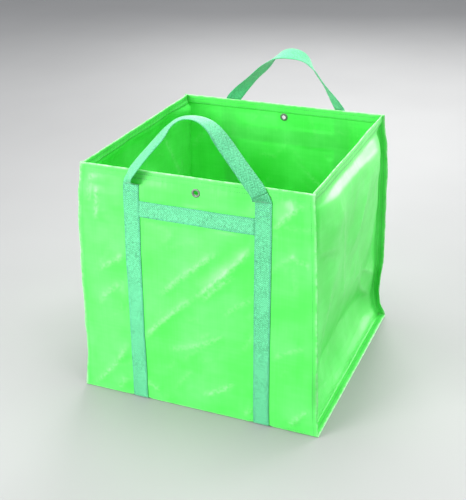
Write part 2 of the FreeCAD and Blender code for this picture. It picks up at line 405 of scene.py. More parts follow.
def on_face(face, across, run, lift=0.0):
    """Points on the front or back wall, lift outside the cloth's outer face."""
    across, run = np.broadcast_arrays(across, run)
    out, height, n_out, n_up = (np.interp(run, profile[:, 0], profile[:, i]) for i in (1, 2, 3, 4))
    size = np.hypot(n_out, n_up)
    stand = cloth / 2 + lift
    share = np.clip(np.abs(across) / side_x(height), 0, 1) ** 3
    kick = np.where(across < 0, -corner_kick("left", face, height), corner_kick("right", face, height))
    y = out + face_relief(face, across, height) + n_out / size * stand
    z = height + n_up / size * stand + floor_rise(across) * (1 - smooth(height / 0.03))
    return np.stack([across + share * kick, FACES[face] * y, z], -1)


def on_side(side, along, height, lift=0.0):
    """Points on a side wall between its bends, lift outside the cloth's outer face."""
    along, height = np.broadcast_arrays(along, height)
    x = side_x(height) + side_relief(side, along, height) + lift
    return np.stack([SIDES[side] * x, along, height], -1)


# Meshes.

def grid_faces(rows, columns, start=0, flip=False, closed=False):
    """Quads between neighbouring points of a grid, optionally closed round the columns."""
    number = start + np.arange(rows * columns).reshape(rows, columns)
    if closed:
        number = np.concatenate([number, number[:, :1]], 1)
    quads = np.stack([number[:-1, :-1], number[:-1, 1:], number[1:, 1:], number[1:, :-1]], -1)
    quads = quads.reshape(-1, 4)
    return quads[:, ::-1] if flip else quads


def fill_mesh(name, points, quads, uv=None, extra=None):
    """An object from points and quads, with a UV map in metres and named point attributes."""
    mesh = bpy.data.meshes.new(name)
    mesh.from_pydata(points.reshape(-1, 3).tolist(), [], quads.tolist())
    mesh.shade_smooth()
    if uv is not None:
        corner = np.empty(len(mesh.loops), np.int32)
        mesh.loops.foreach_get("vertex_index", corner)
        layer = mesh.uv_layers.new(name="UVMap")
        layer.uv.foreach_set("vector", uv.reshape(-1, 2)[corner].astype(np.float32).ravel())
    for key, values in (extra or {}).items():
        attribute = mesh.attributes.new(key, "FLOAT", "POINT")
        attribute.data.foreach_set("value", values.astype(np.float32).ravel())
    thing = bpy.data.objects.new(name, mesh)
    bpy.context.scene.collection.objects.link(thing)
    return thing


def mend(thing, weld=False, caps=(), count=0):
    """Joins points that lie on each other, or closes open rings that start at the given points
    and then turns all faces outwards."""
    work = bmesh.new()
    work.from_mesh(thing.data)
    if weld:
        bmesh.ops.remove_doubles(work, verts=work.verts, dist=1e-6)
    else:
        work.verts.ensure_lookup_table()
        for start in caps:
            work.faces.new(work.verts[start:start + count])
        bmesh.ops.recalc_face_normals(work, faces=work.faces)
    work.to_mesh(thing.data)
    work.free()
    return thing


def thicken(thing):
    """Gives a sheet its thickness, half to each side."""
    wall = thing.modifiers.new("Thickness", "SOLIDIFY")
    wall.thickness = cloth
    wall.offset = 0.0
    wall.use_even_offset = True


def finish_piece(thing, material, slot, body, *nodes):
    """Material, body and the CAD nodes that a piece stands for. The slot is not used."""
    thing.data.materials.append(material)
    if body:
        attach(thing, body)
    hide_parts(*nodes)
    return thing


# Materials.

def nodes_of(name):
    """A new material with its node tree and its surface shader."""
    material = bpy.data.materials.new(name)
    material.use_nodes = True
    tree = material.node_tree
    return material, tree, tree.nodes["Principled BSDF"]


def connect(tree, value, socket):
    """Links a socket, or sets a number on it."""
    if isinstance(value, (int, float)):
        socket.default_value = value
    else:
        tree.links.new(value, socket)


def calc(tree, operation, first, second=0.0, third=0.0):
    """One Math node."""
    node = tree.nodes.new("ShaderNodeMath")
    node.operation = operation
    for value, socket in zip((first, second, third), node.inputs):
        connect(tree, value, socket)
    return node.outputs[0]


def uv_parts(tree):
    """The two directions of the piece's UV map, in metres."""
    node = tree.nodes.new("ShaderNodeUVMap")
    node.uv_map = "UVMap"
    split = tree.nodes.new("ShaderNodeSeparateXYZ")
    tree.links.new(node.outputs[0], split.inputs[0])
    return split.outputs[0], split.outputs[1]


def noise(tree, scale, detail=3.0, roughness=0.55, stretch=None):
    """Cloudy noise on the object's own coordinates, stretched if asked."""
    place = tree.nodes.new("ShaderNodeTexCoord")
    node = tree.nodes.new("ShaderNodeTexNoise")
    node.inputs["Scale"].default_value = scale
    node.inputs["Detail"].default_value = detail
    node.inputs["Roughness"].default_value = roughness
    source = place.outputs["Object"]
    if stretch:
        turn = tree.nodes.new("ShaderNodeMapping")
        turn.inputs["Scale"].default_value = stretch
        tree.links.new(source, turn.inputs["Vector"])
        source = turn.outputs["Vector"]
    tree.links.new(source, node.inputs["Vector"])
    return node.outputs["Fac"]


def ramp(tree, value, low, high):
    """Maps a value from low..high to 0..1 smoothly."""
    node = tree.nodes.new("ShaderNodeMapRange")
    node.interpolation_type = "SMOOTHSTEP"
    node.inputs["From Min"].default_value = low
    node.inputs["From Max"].default_value = high
    tree.links.new(value, node.inputs["Value"])
    return node.outputs["Result"]


def blend_colours(tree, share, first, second):
    """Mixes two colours, each a colour or a socket."""
    node = tree.nodes.new("ShaderNodeMix")
    node.data_type = "RGBA"
    connect(tree, share, node.inputs["Factor"])
    for colour, socket in ((first, node.inputs["A"]), (second, node.inputs["B"])):
        pair = [s for s in node.inputs if s.name == socket.name and s.type == "RGBA"][0]
        if isinstance(colour, tuple):
            pair.default_value = colour + (1.0,)
        else:
            tree.links.new(colour, pair)
    return [s for s in node.outputs if s.type == "RGBA"][0]


def point_value(tree, name):
    """A named value stored on the piece's points."""
    node = tree.nodes.new("ShaderNodeAttribute")
    node.attribute_name = name
    return node.outputs["Fac"]


def bump(tree, height, shader, strength, distance):
    """Turns a height into a bump on the shader."""
    node = tree.nodes.new("ShaderNodeBump")
    node.inputs["Strength"].default_value = strength
    node.inputs["Distance"].default_value = distance
    tree.links.new(height, node.inputs["Height"])
    tree.links.new(node.outputs[0], shader.inputs["Normal"])


def tape_weave(tree):
    """Height of a plain weave of flat tapes: in every second cell the upright tape is on top."""
    u, v = uv_parts(tree)
    wave_u = calc(tree, "SINE", calc(tree, "MULTIPLY", u, math.pi / tape_pitch))
    wave_v = calc(tree, "SINE", calc(tree, "MULTIPLY", v, math.pi / tape_pitch))
    upright = calc(tree, "GREATER_THAN", calc(tree, "MULTIPLY", wave_u, wave_v), 0.0)
    round_u = calc(tree, "POWER", calc(tree, "ABSOLUTE", wave_u), 0.5)
    round_v = calc(tree, "POWER", calc(tree, "ABSOLUTE", wave_v), 0.5)
    over = calc(tree, "MULTIPLY", round_u, calc(tree, "MULTIPLY_ADD", round_v, 0.3, 0.7))
    under = calc(tree, "MULTIPLY", round_v, calc(tree, "MULTIPLY_ADD", round_u, 0.3, 0.6))
    chosen = calc(tree, "MULTIPLY", over, upright)
    other = calc(tree, "MULTIPLY", under, calc(tree, "SUBTRACT", 1.0, upright))
    return calc(tree, "ADD", chosen, other), u, v


def tape_tone(tree, along):
    """A slightly different tone for each tape."""
    number = calc(tree, "FLOOR", calc(tree, "MULTIPLY", along, 1 / tape_pitch))
    node = tree.nodes.new("ShaderNodeTexWhiteNoise")
    node.noise_dimensions = "1D"
    tree.links.new(number, node.inputs["W"])
    return node.outputs["Value"]


def cloth_material():
    """Coated cloth woven of flat green tapes, with a satin face, a painted highlight that whitens
    the colour along crease ridges, paler worn edges, and some light let through."""
    material, tree, shader = nodes_of("coated_woven_cloth")
    weave, u, v = tape_weave(tree)
    tone = calc(tree, "ADD", tape_tone(tree, u), tape_tone(tree, v))
    tone = calc(tree, "MULTIPLY_ADD", tone, 0.06, noise(tree, 14.0))
    green = blend_colours(tree, ramp(tree, tone, 0.30, 0.95), cloth_deep, cloth_light)
    green = blend_colours(tree, calc(tree, "MULTIPLY", weave, 0.15), green, cloth_light)
    # Painted highlight: along sharp crease ridges the colour is mixed towards white, in patches, in place of
    # the sheen the ridges catch.
    patchy = ramp(tree, noise(tree, 160.0), 0.30, 0.70)
    crease_highlight = calc(tree, "MULTIPLY", point_value(tree, "bend"), calc(tree, "MULTIPLY", patchy, 0.34))
    green = blend_colours(tree, crease_highlight, green, highlight_and_wear_white)
    worn = calc(tree, "MULTIPLY", point_value(tree, "wear"), ramp(tree, noise(tree, 90.0), 0.25, 0.75))
    green = blend_colours(tree, calc(tree, "MULTIPLY", worn, 0.80), green, highlight_and_wear_white)
    tree.links.new(green, shader.inputs["Base Color"])
    rough = calc(tree, "MULTIPLY_ADD", noise(tree, 40.0), 0.20, 0.27)
    rough = calc(tree, "MULTIPLY_ADD", worn, 0.15, rough)
    tree.links.new(rough, shader.inputs["Roughness"])
    shader.inputs["IOR"].default_value = 1.5
    shader.inputs["Specular IOR Level"].default_value = 0.40
    shader.inputs["Coat Weight"].default_value = 0.28
    shader.inputs["Coat Roughness"].default_value = 0.33
    crinkle = calc(tree, "MULTIPLY", noise(tree, 65.0, 4.0, 0.6), 2.6)
    fine = calc(tree, "MULTIPLY_ADD", noise(tree, 420.0), 0.5, calc(tree, "ADD", weave, crinkle))
    bump(tree, fine, shader, 0.30, 0.00020)
    glow = tree.nodes.new("ShaderNodeBsdfTranslucent")
    tree.links.new(green, glow.inputs["Color"])
    both = tree.nodes.new("ShaderNodeMixShader")
    both.inputs[0].default_value = 0.25
    tree.links.new(shader.outputs[0], both.inputs[1])
    tree.links.new(glow.outputs[0], both.inputs[2])
    tree.links.new(both.outputs[0], tree.nodes["Material Output"].inputs["Surface"])
    return material


def webbing_material():
    """Herringbone webbing: teal and mint yarns in zigzag ribs, with a plain dark selvedge."""
    material, tree, shader = nodes_of("herringbone_webbing")
    u, v = uv_parts(tree)
    zigzag = calc(tree, "PINGPONG", u, webbing_width / 4)
    slant = calc(tree, "MULTIPLY_ADD", zigzag, 1.1, v)
    ribs = calc(tree, "SINE", calc(tree, "MULTIPLY", slant, 2 * math.pi / rib_pitch))
    ribs = calc(tree, "MULTIPLY_ADD", ribs, 0.5, 0.5)
    yarns = calc(tree, "ABSOLUTE", calc(tree, "SINE", calc(tree, "MULTIPLY", u, math.pi / yarn_pitch)))
    speckle = noise(tree, 420.0, 3.0)
    tone = calc(tree, "MULTIPLY_ADD", ribs, 0.36, calc(tree, "MULTIPLY", speckle, 1.15))
    tone = calc(tree, "MULTIPLY_ADD", yarns, 0.20, tone)
    colour = blend_colours(tree, ramp(tree, tone, 0.50, 1.25), webbing_dark, webbing_mint)
    faded = ramp(tree, noise(tree, 30.0), 0.35, 0.75)
    colour = blend_colours(tree, calc(tree, "MULTIPLY", faded, 0.25), colour, webbing_mint)
    edge = ramp(tree, calc(tree, "ABSOLUTE", u), webbing_width * 0.44, webbing_width * 0.48)
    colour = blend_colours(tree, calc(tree, "MULTIPLY", edge, 0.45), colour, webbing_dark)
    tree.links.new(colour, shader.inputs["Base Color"])
    rough = calc(tree, "MULTIPLY_ADD", speckle, 0.25, 0.42)
    tree.links.new(rough, shader.inputs["Roughness"])
    shader.inputs["Sheen Weight"].default_value = 0.25
    shader.inputs["Sheen Roughness"].default_value = 0.4
    height = calc(tree, "MULTIPLY_ADD", yarns, 0.5, ribs)
    bump(tree, height, shader, 0.7, 0.0004)
    return material


def thread_material(name, colour, shade):
    """Twisted sewing thread: fine slanted plies, with a tone that drifts along the row."""
    material, tree, shader = nodes_of(name)
    plies = noise(tree, 1500.0, 2.0, 0.6, (1.0, 1.0, 0.5))
    drift = noise(tree, 60.0)
    mixed = blend_colours(tree, ramp(tree, plies, 0.3, 0.7), shade, colour)
    mixed = blend_colours(tree, calc(tree, "MULTIPLY", drift, 0.3), mixed, shade)
    tree.links.new(mixed, shader.inputs["Base Color"])
    rough = calc(tree, "MULTIPLY_ADD", plies, 0.3, 0.4)
    tree.links.new(rough, shader.inputs["Roughness"])
    bump(tree, plies, shader, 0.5, 0.0001)
    return material


def metal_material():
    """Plated eyelet metal with fine scratches and dull patches."""
    material, tree, shader = nodes_of("plated_eyelet_metal")
    dull = noise(tree, 500.0)
    scratch = noise(tree, 1400.0, 2.0, 0.6, (1.0, 1.0, 0.15))
    colour = blend_colours(tree, ramp(tree, dull, 0.35, 0.75), metal_bright, metal_dull)
    tree.links.new(colour, shader.inputs["Base Color"])
    rough = calc(tree, "MULTIPLY_ADD", dull, 0.25, 0.42)
    tree.links.new(calc(tree, "MULTIPLY_ADD", scratch, 0.12, rough), shader.inputs["Roughness"])
    shader.inputs["Metallic"].default_value = 1.0
    bump(tree, scratch, shader, 0.15, 0.00005)
    return material


cloth_deep = (0.075, 0.760, 0.085)
cloth_light = (0.150, 0.900, 0.180)
# Whitish colour for the painted highlight along crease ridges and for the worn edges.
highlight_and_wear_white = (0.560, 0.950, 0.560)
webbing_dark = (0.006, 0.190, 0.066)
webbing_mint = (0.135, 0.680, 0.330)
thread_pale = (0.110, 0.520, 0.150)
thread_shade = (0.030, 0.250, 0.060)
strap_thread_pale = (0.150, 0.600, 0.420)
strap_thread_shade = (0.030, 0.250, 0.180)
metal_bright = (0.210, 0.270, 0.210)
metal_dull = (0.110, 0.150, 0.115)

woven_cloth = cloth_material()
herringbone = webbing_material()
cloth_thread = thread_material("pale_green_thread", thread_pale, thread_shade)
strap_thread = thread_material("teal_thread", strap_thread_pale, strap_thread_shade)
plated = metal_material()


# Cloth sheets.

def near_edges(beyond, height):
    """Wear: 1 at the raw fin edges, the rim and the bottom fold, fading away from them."""
    rim = smooth((height - (rim_height - 0.0035)) / 0.003)
    foot = smooth(1 - height / 0.006)
    fin = smooth((beyond - 0.72) / 0.25)
    return np.maximum(np.maximum(rim, 0.6 * foot), fin)


def open_eyelet(points, quads, middle):
    """Opens a round hole in the grid: points inside it move out to its rim, and the quads that
    lose all four points are left out."""
    flat = points.reshape(-1, 3)
    away = flat[:, [0, 2]] - middle
    reach = np.hypot(away[:, 0], away[:, 1])
    hole = eyelet_bore / 2 + 0.0013
    inside = reach < hole
    scale = hole / np.maximum(reach, 1e-9)
    flat[inside, 0] = middle[0] + away[inside, 0] * scale[inside]
    flat[inside, 2] = middle[1] + away[inside, 1] * scale[inside]
    return flat, quads[~inside[quads].all(1)]


def face_wall(face):
    """The front or back wall: columns across with a fin at both ends, rows along the profile."""
    half = round(2 * base_half_width / cloth_step)
    share = np.concatenate([
        np.linspace(-2, -1, 7)[:-1], np.linspace(-1, 1, half + 1), np.linspace(1, 2, 7)[1:]
    ])[None, :]
    run, height = profile[:, :1], profile[:, 2:3]
    beyond = np.maximum(np.abs(share) - 1, 0)
    fray = 0.0004 * np.sin(height * 900.0) + 0.0003 * np.sin(height * 2310.0 + 1.0)
    across = np.clip(share, -1, 1) * side_x(height)
    across = across + np.sign(share) * beyond * (seam_allowance + fray)
    points = on_face(face, across, run, -cloth / 2)
    rows, columns = across.shape
    quads = grid_faces(rows, columns, flip=FACES[face] > 0)
    seat = on_face(face, strap_middle, run_at(eyelet_height))
    # bend: how sharply the cloth is bent; the cloth material paints a highlight along it.
    bend = wall_creases(face, across, height + 0 * across)[1]
    wear = near_edges(beyond + 0 * height, height + 0 * share)
    uv = np.stack([across, run + 0 * across], -1)
    points, quads = open_eyelet(points, quads, seat[[0, 2]])
    wall = fill_mesh(face + "_wall", points, quads, uv, {"bend": bend, "wear": wear})
    thicken(wall)
    return wall


def side_rows():
    """Heights and set-ins of a side wall's rows: up the wall, over the rim and down the hem."""
    hem_bend = hem_set_in / 2
    foot = floor_of_cloth + cloth + side_bend
    top = rim_height - cloth / 2 - hem_bend
    count = round((top - foot) / cloth_step)
    rows = [(z, 0.0) for z in np.linspace(foot, top, count + 1)]
    for turn in np.linspace(0, math.pi, 7)[1:]:
        rows.append((top + hem_bend * math.sin(turn), hem_bend - hem_bend * math.cos(turn)))
    rows += [(z, hem_set_in) for z in np.linspace(top, rim_height - hem_height, 8)[1:]]
    table = np.array(rows)
    return table[:, :1], table[:, 1:]


def rim_flare(height):
    """Near the rim the side wall's hem reaches out to the tips of the fins."""
    return 0.0115 * smooth((height - (rim_height - 0.034)) / 0.026)


def fin_depth(height):
    """How far the side wall's fin lies behind the outer face, further where the hems stack."""
    return 0.00095 + 0.0027 * smooth((height - (rim_height - 0.026)) / 0.008)


def side_corner(side, face, height, set_in, turn, past):
    """The bend into a fin and the fin: a quarter turn about a line outside the seam, and then
    straight on by past."""
    flare = rim_flare(height)
    x = side_x(height) - cloth / 2 + corner_kick(side, face, height) + flare
    past = past * (1 - flare / (seam_allowance - side_bend))
    y = face_y(height) - fin_depth(height)
    out_x = x + side_bend - (side_bend + set_in) * np.cos(turn) + past
    out_y = y - side_bend + (side_bend + set_in) * np.sin(turn)
    beyond = np.clip((out_x - x + flare) / seam_allowance, 0, 1)
    out_y = out_y + fin_lean(beyond, height)
    return np.stack(np.broadcast_arrays(SIDES[side] * out_x, FACES[face] * out_y, height), -1), beyond


def side_wall(side):
    """A side wall in one piece: front fin, bend, wall, bend, back fin, and the allowance that
    turns outwards along the base."""
    height, set_in = side_rows()
    turns = np.linspace(0, math.pi / 2, 6)[None, :]
    pasts = np.linspace(0, seam_allowance - side_bend, 7)[None, 1:]
    count = round(2 * base_half_depth / cloth_step)
    share = np.linspace(-1, 1, count + 1)[None, :]
    reach = face_y(height) - fin_depth(height) - side_bend
    along = share * reach
    middle = on_side(side, along, height + 0 * along, -cloth / 2)
    middle[..., 0] -= SIDES[side] * set_in
    blocks, wears = [], []
    for face in FACES:
        bend, bend_out = side_corner(side, face, height, set_in, turns[:, 1:], 0.0)
        fin, fin_out = side_corner(side, face, height, set_in, math.pi / 2, pasts)
        block = np.concatenate([bend, fin], 1)
        out = np.concatenate([bend_out, fin_out], 1)
        if face == "front":
            blocks.append(block[:, ::-1])
            wears.append(out[:, ::-1])
            blocks.append(middle)
            wears.append(np.zeros(along.shape))
        else:
            blocks.append(block)
            wears.append(out)
    points = np.concatenate(blocks, 1)
    beyond = np.concatenate(wears, 1)
    rows, columns = beyond.shape
    quads = grid_faces(rows, columns, flip=SIDES[side] < 0)
    steps = np.linalg.norm(np.diff(points, axis=1), axis=2)
    u = np.concatenate([np.zeros((rows, 1)), np.cumsum(steps, 1)], 1) - base_half_depth
    climb = np.hypot(np.diff(height, axis=0), np.diff(set_in, axis=0))
    rise = np.concatenate([[[0.0]], np.cumsum(climb, 0)])
    uv = np.stack([u, rise + 0 * u], -1)
    # bend: how sharply the cloth is bent; the cloth material paints a highlight along it.
    bend = np.zeros(beyond.shape)
    fins = turns.shape[1] - 1 + pasts.shape[1]
    bend[:, fins:-fins] = wall_creases(side, along, height + 0 * along)[1]
    wear = near_edges(beyond, height + 0 * beyond)
    foot, foot_quads, foot_uv, foot_wear = side_foot(side, middle[0], points.size // 3, u[0, fins:-fins])
    points = np.concatenate([points.reshape(-1, 3), foot.reshape(-1, 3)])
    wall = fill_mesh(
        side + "_wall", points, np.concatenate([quads, foot_quads]),
        np.concatenate([uv.reshape(-1, 2), foot_uv.reshape(-1, 2)]),
        {"bend": np.concatenate([bend.ravel(), 0 * foot_wear.ravel()]),
         "wear": np.concatenate([wear.ravel(), foot_wear.ravel()])},
    )
    mend(wall, weld=True)
    thicken(wall)
    return wall


def side_foot(side, first_row, start, u):
    """The allowance along the base: from its raw edge inwards, then a quarter turn up to the
    wall's first row."""
    turns = np.linspace(math.pi / 2, 0, 6)
    x_wall = np.abs(first_row[:, 0])
    lie = floor_of_cloth + cloth
    rows = []
    for past in np.linspace(seam_allowance - side_bend, 0, 7)[:-1]:
        rows.append((x_wall + side_bend + past, np.full(len(u), lie)))
    for turn in turns:
        rows.append((x_wall + side_bend - side_bend * math.cos(turn),
                     np.full(len(u), lie + side_bend - side_bend * math.sin(turn))))
    x, z = np.array([row[0] for row in rows]), np.array([row[1] for row in rows])
    y = np.broadcast_to(first_row[:, 1], x.shape)
    points = np.stack([SIDES[side] * x, y, z], -1)
    quads = grid_faces(*x.shape, start=start, flip=SIDES[side] < 0)
    beyond = np.clip((x - x_wall) / seam_allowance, 0, 1)
    uv = np.stack([np.broadcast_to(u, x.shape), z - (x - x_wall)], -1)
    return points, quads, uv, smooth((beyond - 0.7) / 0.25)


def base_sheet():
    """The base: flat on the floor between the bands and raised over them, with packing folds
    and a little looseness."""
    reach = side_x(0) + seam_allowance
    depth = profile[0, 1]
    across = np.linspace(-reach, reach, round(2 * reach / cloth_step) + 1)[None, :]
    along = np.linspace(-depth, depth, round(2 * depth / cloth_step) + 1)[:, None]
    inside = smooth((side_x(0) - 0.012 - np.abs(across)) / 0.03) * smooth((depth - np.abs(along)) / 0.03)
    folds = np.zeros(inside.shape)
    for crease in base_creases:
        folds += crease_lift(across, along, crease)[0]
    loose = np.maximum(ripple(across, along, 9), 0) * 1.2
    height = floor_of_cloth + floor_rise(across) + inside * (folds + loose)
    points = np.stack(np.broadcast_arrays(across, along, height), -1)
    quads = grid_faces(*inside.shape)
    uv = np.stack(np.broadcast_arrays(across, along), -1)
    zero = np.zeros(inside.shape)
    worn = smooth((np.abs(across) - reach + 0.004) / 0.004) + zero
    base = fill_mesh("base_cloth", points, quads, uv, {"bend": zero, "wear": worn})
    thicken(base)
    return base


# Webbing.

def strap_section():
    """Round the section of the webbing: across, and share of the thickness from back to front."""
    half, edge = webbing_width / 2, webbing_edge
    flat = np.linspace(-half + edge, half - edge, 9)
    low = [(a, 0.0) for a in flat]
    turns = np.linspace(0, math.pi, 5)[1:-1]
    up = [(half - edge + edge * math.sin(t), 0.5 - 0.5 * math.cos(t)) for t in turns]
    high = [(a, 1.0) for a in flat[::-1]]
    down = [(-a, 1 - b) for a, b in up]
    return np.array(low + up + high + down)


section = strap_section()


def strap_mesh(name, points, run):
    """A closed strip of webbing from one ring of points per step along it."""
    rings, count = points.shape[:2]
    quads = grid_faces(rings, count, closed=True)
    uv = np.stack(np.broadcast_arrays(section[:, 0], run[:, None]), -1)
    strap = fill_mesh(name, points, quads, uv)
    mend(strap, caps=(0, (rings - 1) * count), count=count)
    strap.data.shade_smooth()
    return strap


def even_steps(start, end, step=strap_step):
    """Evenly spaced places from start to end."""
    return np.linspace(start, end, max(2, round(abs(end - start) / step) + 1))


def sewn_band(face, side):
    """The sewn strap: under the bottom edge, round the fold and up the wall."""
    foot = run_at(0.012)
    run = np.concatenate([even_steps(0.0, foot, 0.0008), even_steps(foot, run_at(sewn_top))[1:]])
    across = band_middle(side) + section[None, :, 0]
    points = on_face(face, across, run[:, None], section[None, :, 1] * webbing)
    return strap_mesh(face + "_" + side + "_strap", points, run)


def base_strap(side):
    """The strap under the base, between the two sewn bands."""
    reach = profile[0, 1] - 0.0001
    along = even_steps(-reach, reach)
    across = band_middle(side) + section[None, :, 0] + 0 * along[:, None]
    height = webbing * (1 - section[None, :, 1]) + 0 * along[:, None] + 0.00002
    points = np.stack([across, along[:, None] + 0 * across, height], -1)
    return strap_mesh(side + "_base_strap", points, along)


def cross_piece(face):
    """The level strap, its ends tucked against the sewn bands."""
    reach = band_centre - webbing_width / 2 + 0.0004
    across = even_steps(strap_middle - reach, strap_middle + reach)
    height = cross_middle + section[None, :, 0] + 0 * across[:, None]
    lift = section[None, :, 1] * cross_thickness
    points = on_face(face, across[:, None] + 0 * height, run_at(height), lift)
    return strap_mesh(face + "_cross_webbing", points, across)


def arch_angle():
    """Lean of the arch's straight legs from upright, and the reach between the bends' centres."""
    across = -(band_centre - root_radius)
    up = crown_top - crown_radius - sewn_top
    reach = math.hypot(across, up)
    return math.atan2(up, across) - math.acos((root_radius - crown_radius) / reach), reach


leg_lean, bend_reach = arch_angle()
root_run = root_radius * leg_lean
leg_run = math.sqrt(bend_reach**2 - (root_radius - crown_radius) ** 2)
crown_run = crown_radius * (math.pi / 2 - leg_lean)
half_arch = root_run + leg_run + crown_run


def leg_line(run):
    """Across, height and lean of the right leg's centre line: a bend, a straight leg and half
    of the crown."""
    in_root = np.clip(run, 0, root_run) / root_radius
    on_leg = np.clip(run - root_run, 0, leg_run)
    in_crown = np.clip(run - root_run - leg_run, 0, crown_run) / crown_radius
    lean = in_root + in_crown
    across = band_centre - root_radius * (1 - np.cos(in_root)) - on_leg * math.sin(leg_lean)
    height = sewn_top + root_radius * np.sin(in_root) + on_leg * math.cos(leg_lean)
    across = across - crown_radius * (math.cos(leg_lean) - np.cos(leg_lean + in_crown))
    height = height + crown_radius * (np.sin(leg_lean + in_crown) - math.sin(leg_lean))
    return across, height, lean


leg_table = np.linspace(0, half_arch, 400)
rim_run = float(np.interp(rim_height + 0.0015, leg_line(leg_table)[1], leg_table))
split_run = 0.5 * rim_run


def twist(face, run):
    """Turn of the webbing about its own length: it leaves the sewing at once, turns further up
    the leg, and lies flat or leans towards the middle of the bag at the top."""
    first = 1 - (1 - np.clip(run / (0.65 * rim_run), 0, 1)) ** 2
    leg = smooth((run - 0.65 * rim_run) / (0.40 * half_arch))
    last = smooth((run - 0.60 * half_arch) / (0.40 * half_arch))
    turn = rim_twist[face] * first + (leg_twist[face] - rim_twist[face]) * leg
    return np.radians(turn + (crown_twist[face] - leg_twist[face]) * last)


def leg_points(face, side, run):
    """Rings of webbing along one leg. The inner edge slides up the wall's outer face, so the
    centre stands off by half a width times the sine of the twist."""
    across, height, lean = (value[:, None] for value in leg_line(run))
    turn = twist(face, run)[:, None]
    settled = smooth((run - rim_run) / (half_arch - rim_run))[:, None]
    height = height - arch_sink[face] * settled
    out, hand = FACES[face], SIDES[side]
    gap = webbing_gap * smooth(run / 0.008)[:, None]
    stand = gap + webbing_width / 2 * np.sin(turn) + webbing / 2 * np.cos(turn)
    level = np.minimum(height, rim_height)
    follow = face_relief(face, strap_middle + hand * across, np.minimum(level, sewn_top + 0.012))
    wall = face_y(level) + follow
    x = strap_middle + hand * across + arch_sway[face] * settled
    middle = np.stack([x, out * (wall + stand), height], -1)
    wide = np.stack([hand * np.cos(turn) * np.cos(lean), -out * np.sin(turn) + 0 * lean,
                     np.cos(turn) * np.sin(lean)], -1)
    thick = np.stack([hand * np.sin(turn) * np.cos(lean), out * np.cos(turn) + 0 * lean,
                      np.sin(turn) * np.sin(lean)], -1)
    camber = 0.0006 * (1 - (2 * section[:, 0] / webbing_width) ** 2) * smooth(run / 0.03)[:, None]
    a = section[None, :, 0, None]
    b = ((section[None, :, 1] - 0.5) * webbing + camber)[..., None]
    return middle + wide * a + thick * b


def handle_root(face, side):
    """Webbing from the top of the sewing to halfway up to the rim, where it leans outwards."""
    run = even_steps(0.0, split_run, 0.002)
    return strap_mesh(face + "_" + side + "_handle_foot", leg_points(face, side, run), run)


def handle_arch(face):
    """The arch that the hand holds, from one leg over the top to the other."""
    run = even_steps(split_run, half_arch, 0.003)
    left = leg_points(face, "left", run)
    right = leg_points(face, "right", run[::-1][1:])
    points = np.concatenate([left, right])
    whole = np.concatenate([run, 2 * half_arch - run[::-1][1:]])
    return strap_mesh(face + "_handle_arch", points, whole)


# Stitches.

def stitch_mesh(name, centre, along, normal, length=stitch_length, width=stitch_width):
    """Stitches as short arched spindles: five rings of six points each, highest in the middle
    and sunk into the cloth at both ends."""
    aside = np.cross(normal, along)
    place = np.array([-1.0, -0.65, 0.0, 0.65, 1.0])
    thick = np.array([0.45, 0.9, 1.0, 0.9, 0.45]) * width / 2
    high = width * (0.42 - 0.75 * place**2)
    turn = np.arange(6) * math.pi / 3
    ring_up = np.sin(turn)[None, :] * thick[:, None] + high[:, None]
    ring_aside = np.cos(turn)[None, :] * thick[:, None]
    points = (centre[:, None, None] + along[:, None, None] * (place * length / 2)[None, :, None, None]
              + aside[:, None, None] * ring_aside[None, :, :, None]
              + normal[:, None, None] * ring_up[None, :, :, None])
    one = grid_faces(5, 6, closed=True)
    quads = (np.arange(len(centre))[:, None, None] * 30 + one[None]).reshape(-1, 4)
    return fill_mesh(name, points.reshape(-1, 3), quads)


def unit(vectors):
    """Vectors scaled to length 1."""
    return vectors / np.linalg.norm(vectors, axis=-1, keepdims=True)


def stitch_row(place, start, end, outward):
    """Centres, directions and normals of one row between two pairs of surface coordinates."""
    start, end = np.array(start, float), np.array(end, float)
    count = max(1, round(float(np.linalg.norm(end - start)) / stitch_pitch))
    share = (np.arange(count) + 0.5) / count
    spots = start + (end - start) * share[:, None]
    small = 0.0005
    a, b = spots[:, 0], spots[:, 1]
    centre = place(a, b)
    slope_a = place(a + small, b) - place(a - small, b)
    slope_b = place(a, b + small) - place(a, b - small)
    normal = unit(np.cross(slope_a, slope_b)) * outward
    heading = unit(end - start)
    along = unit(slope_a * heading[0] + slope_b * heading[1])
    along = unit(along - normal * np.sum(along * normal, -1, keepdims=True))
    return centre, along, normal


def face_row(face, start, end, lift):
    """A row on the front or back wall between two (across, height) points."""
    def place(across, height):
        return on_face(face, across, run_at(height), lift)

    return stitch_row(place, start, end, -FACES[face])


def inner_row(face, start, end):
    """The same row where it comes out on the inside of the hem."""
    def place(across, height):
        points = on_face(face, across, run_at(height), 0.0)
        points[..., 1] -= FACES[face] * (cloth + hem_set_in)
        return points

    return stitch_row(place, start, end, FACES[face])


def side_row(side, start, end, lift, outward=1.0):
    """A row on a side wall between two (along, height) points."""
    def place(along, height):
        return on_side(side, along, height, lift)

    return stitch_row(place, start, end, SIDES[side] * outward)


def join_rows(name, rows):
    """One mesh from several rows."""
    return stitch_mesh(name, *(np.concatenate(parts) for parts in zip(*rows)))


def rim_stitches():
    """Two rows round the hem, seen outside and inside."""
    rows = []
    for below in hem_rows_below_rim:
        height = rim_height - below
        reach = side_x(height) - 0.002
        depth = face_y(height) - 0.006
        for face in FACES:
            rows.append(face_row(face, (-reach, height), (reach, height), 0.0))
            rows.append(inner_row(face, (-reach, height), (reach, height)))
        for side in SIDES:
            rows.append(side_row(side, (-depth, height), (depth, height), 0.0))
            rows.append(side_row(side, (-depth, height), (depth, height), -cloth - hem_set_in, -1.0))
    return join_rows("rim_stitches", rows)


